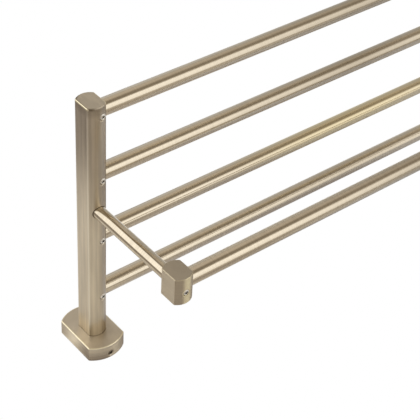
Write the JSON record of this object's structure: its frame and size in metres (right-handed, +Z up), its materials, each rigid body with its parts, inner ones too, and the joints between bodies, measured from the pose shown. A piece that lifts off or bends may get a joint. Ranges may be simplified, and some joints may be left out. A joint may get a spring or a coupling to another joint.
{
  "type": "wall-mounted towel shelf with towel bar",
  "caption": "Wall-mounted towel shelf: round rails between two flat-sided arms on wall flanges, with a towel bar hung below on rods.",
  "frame": {"origin": "on the wall plane, midway between the two wall brackets, level with the arms' axes", "axes": "+X along the rails to the right as seen from the room, +Y into the wall, +Z up in use; the shelf stands out from the wall along -Y and the towel bar hangs below it"},
  "size_m": [0.6, 0.244, 0.1475],
  "materials": {
    "bronze": "light antique bronze, brushed along the part and lacquered",
    "bronze_rail": "light antique bronze tube, brushed round its girth and lacquered",
    "bronze_rod": "light antique bronze rod, finely brushed and lacquered",
    "steel": "plain bright stainless steel screw",
    "zinc": "plain zinc die casting, out of sight"
  },
  "bodies": {
    "root": {"left_wall_bracket": "zinc", "left_flange": "bronze", "left_flange_grub_screw": "steel", "left_arm_screw": "steel", "left_arm_plug": "zinc", "left_arm": "bronze", "left_arm_cap": "bronze", "left_rail_grub_screws": "steel", "left_rod_anchor": "zinc", "left_upper_stud": "steel", "left_drop_rod": "bronze_rod", "left_lower_stud": "steel", "left_bar_holder": "bronze", "left_holder_grub_screw": "steel", "right_wall_bracket": "zinc", "right_flange": "bronze", "right_flange_grub_screw": "steel", "right_arm_screw": "steel", "right_arm_plug": "zinc", "right_arm": "bronze", "right_arm_cap": "bronze", "right_rail_grub_screws": "steel", "right_rod_anchor": "zinc", "right_upper_stud": "steel", "right_drop_rod": "bronze_rod", "right_lower_stud": "steel", "right_bar_holder": "bronze", "right_holder_grub_screw": "steel", "shelf_rail_1": "bronze_rail", "shelf_rail_2": "bronze_rail", "shelf_rail_3": "bronze_rail", "shelf_rail_4": "bronze_rail", "towel_bar": "bronze_rail"}
  },
  "joints": []
}
